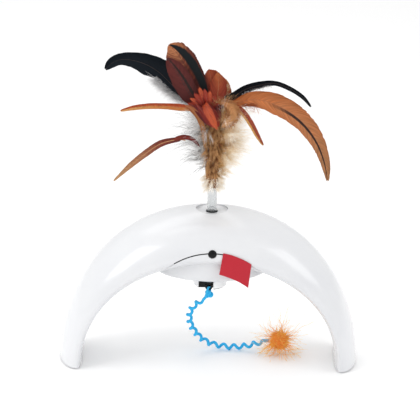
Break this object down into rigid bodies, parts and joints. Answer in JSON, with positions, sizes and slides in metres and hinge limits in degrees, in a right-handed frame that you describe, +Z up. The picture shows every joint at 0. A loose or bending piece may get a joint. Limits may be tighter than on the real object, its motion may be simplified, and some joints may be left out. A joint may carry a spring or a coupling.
{
  "type": "rotating feather cat toy",
  "caption": "White arch-shaped cat toy with a turning feather wand on its crown and a curly cord with a pompom under it.",
  "frame": {"origin": "on the floor, under the rotor's axis, midway between the two feet", "axes": "+X to the right, +Z up along the rotor's axis; the front with the motion sensor faces -Y"},
  "size_m": [0.3396, 0.1168, 0.3809],
  "materials": {
    "white_gloss": "moulded white ABS, glossy",
    "black_gloss": "moulded black ABS, glossy",
    "grey_plastic": "moulded grey ABS, matt",
    "black_rubber": "moulded rubber, matt",
    "steel": "drawn steel, satin",
    "brass": "turned brass",
    "nylon": "moulded natural nylon",
    "circuit_board": "glass epoxy board, green",
    "battery_sleeve": "shrunk plain sleeve",
    "red_ribbon": "woven satin ribbon, plain",
    "clear_plastic": "clear acrylic tube",
    "brown_thread": "wound thread",
    "tan_fur": "natural fur strip",
    "black_feather": "dyed cock feather with a green sheen",
    "rust_feather": "cock hackle, rust brown",
    "red_feather": "dyed feather, brick red",
    "tan_feather": "natural feather, tan",
    "orange_feather": "cock hackle, orange brown",
    "blue_cord": "curly elastic cord",
    "orange_yarn": "cut yarn"
  },
  "bodies": {
    "stand": {"arch_shell": "white_gloss", "left_leg_cover": "white_gloss", "right_leg_cover": "white_gloss", "drive_housing": "white_gloss", "top_bezel": "white_gloss", "seam_strip_front": "black_gloss", "seam_strip_rear": "black_gloss", "motion_sensor": "black_gloss", "left_foot_pad": "black_rubber", "right_foot_pad": "black_rubber", "gear_plate": "grey_plastic", "battery_box": "grey_plastic", "power_switch": "grey_plastic", "upper_bush": "brass", "lower_bush": "brass", "plate_screw_1": "steel", "plate_screw_2": "steel", "plate_screw_3": "steel", "plate_screw_4": "steel", "idler_pin": "steel", "motor_can": "steel", "battery_spring_1": "steel", "battery_spring_2": "steel", "battery_contact_1": "steel", "battery_contact_2": "steel", "motor_end_cap": "nylon", "control_board": "circuit_board", "battery_cell_1": "battery_sleeve", "battery_cell_2": "battery_sleeve", "side_tag": "red_ribbon"},
    "rotor": {"main_shaft": "steel", "drive_gear": "nylon", "wand_socket": "black_gloss", "cord_hub": "white_gloss", "hub_plate": "black_gloss", "cord_hook": "black_gloss", "cord_knot": "blue_cord", "curly_cord": "blue_cord", "pompom": "orange_yarn"},
    "wand": {"feather_binding": "brown_thread", "feather_black_left": "black_feather", "feather_black_right": "black_feather", "feather_striped_top": "rust_feather", "feather_rust_top": "rust_feather", "feather_maroon_top": "red_feather", "feather_red_front": "red_feather", "feather_red_drop": "red_feather", "feather_small_right": "red_feather", "feather_tan_right": "tan_feather", "feather_brown_right": "tan_feather", "feather_thin_left": "tan_feather", "feather_hackle_right": "orange_feather", "feather_orange_left": "orange_feather", "wand_tube": "clear_plastic", "fur_wrap": "tan_fur"},
    "idler": {"idler_gear": "nylon"},
    "motor_rotor": {"motor_pinion": "brass", "motor_shaft": "steel"},
    "battery_door": {"battery_door": "white_gloss"},
    "switch_knob": {"switch_knob": "black_gloss"}
  },
  "joints": [
    {"name": "rotor_spin", "type": "hinge", "parent": "stand", "child": "rotor", "pos_m": [0, 0, 0.1], "axis": [0, 0, 1], "continuous": true},
    {"name": "idler_spin", "type": "hinge", "parent": "stand", "child": "idler", "pos_m": [-0.0264, 0, 0.114], "axis": [0, 0, 1], "continuous": true},
    {"name": "motor_spin", "type": "hinge", "parent": "stand", "child": "motor_rotor", "pos_m": [-0.0488, 0, 0.115], "axis": [0, 0, 1], "continuous": true},
    {"name": "wand_lift", "type": "slide", "parent": "rotor", "child": "wand", "axis": [0, 0, 1], "range_m": [0, 0.03]},
    {"name": "battery_door_slide", "type": "slide", "parent": "stand", "child": "battery_door", "axis": [0.6901, 0, -0.7237], "range_m": [0, 0.04]},
    {"name": "switch_slide", "type": "slide", "parent": "stand", "child": "switch_knob", "axis": [1, 0, 0], "range_m": [0, 0.004]}
  ],
  "couplings": [
    {"joint": "idler_spin", "follows": "rotor_spin", "ratio": -3.7143},
    {"joint": "motor_spin", "follows": "rotor_spin", "ratio": 13.619}
  ]
}
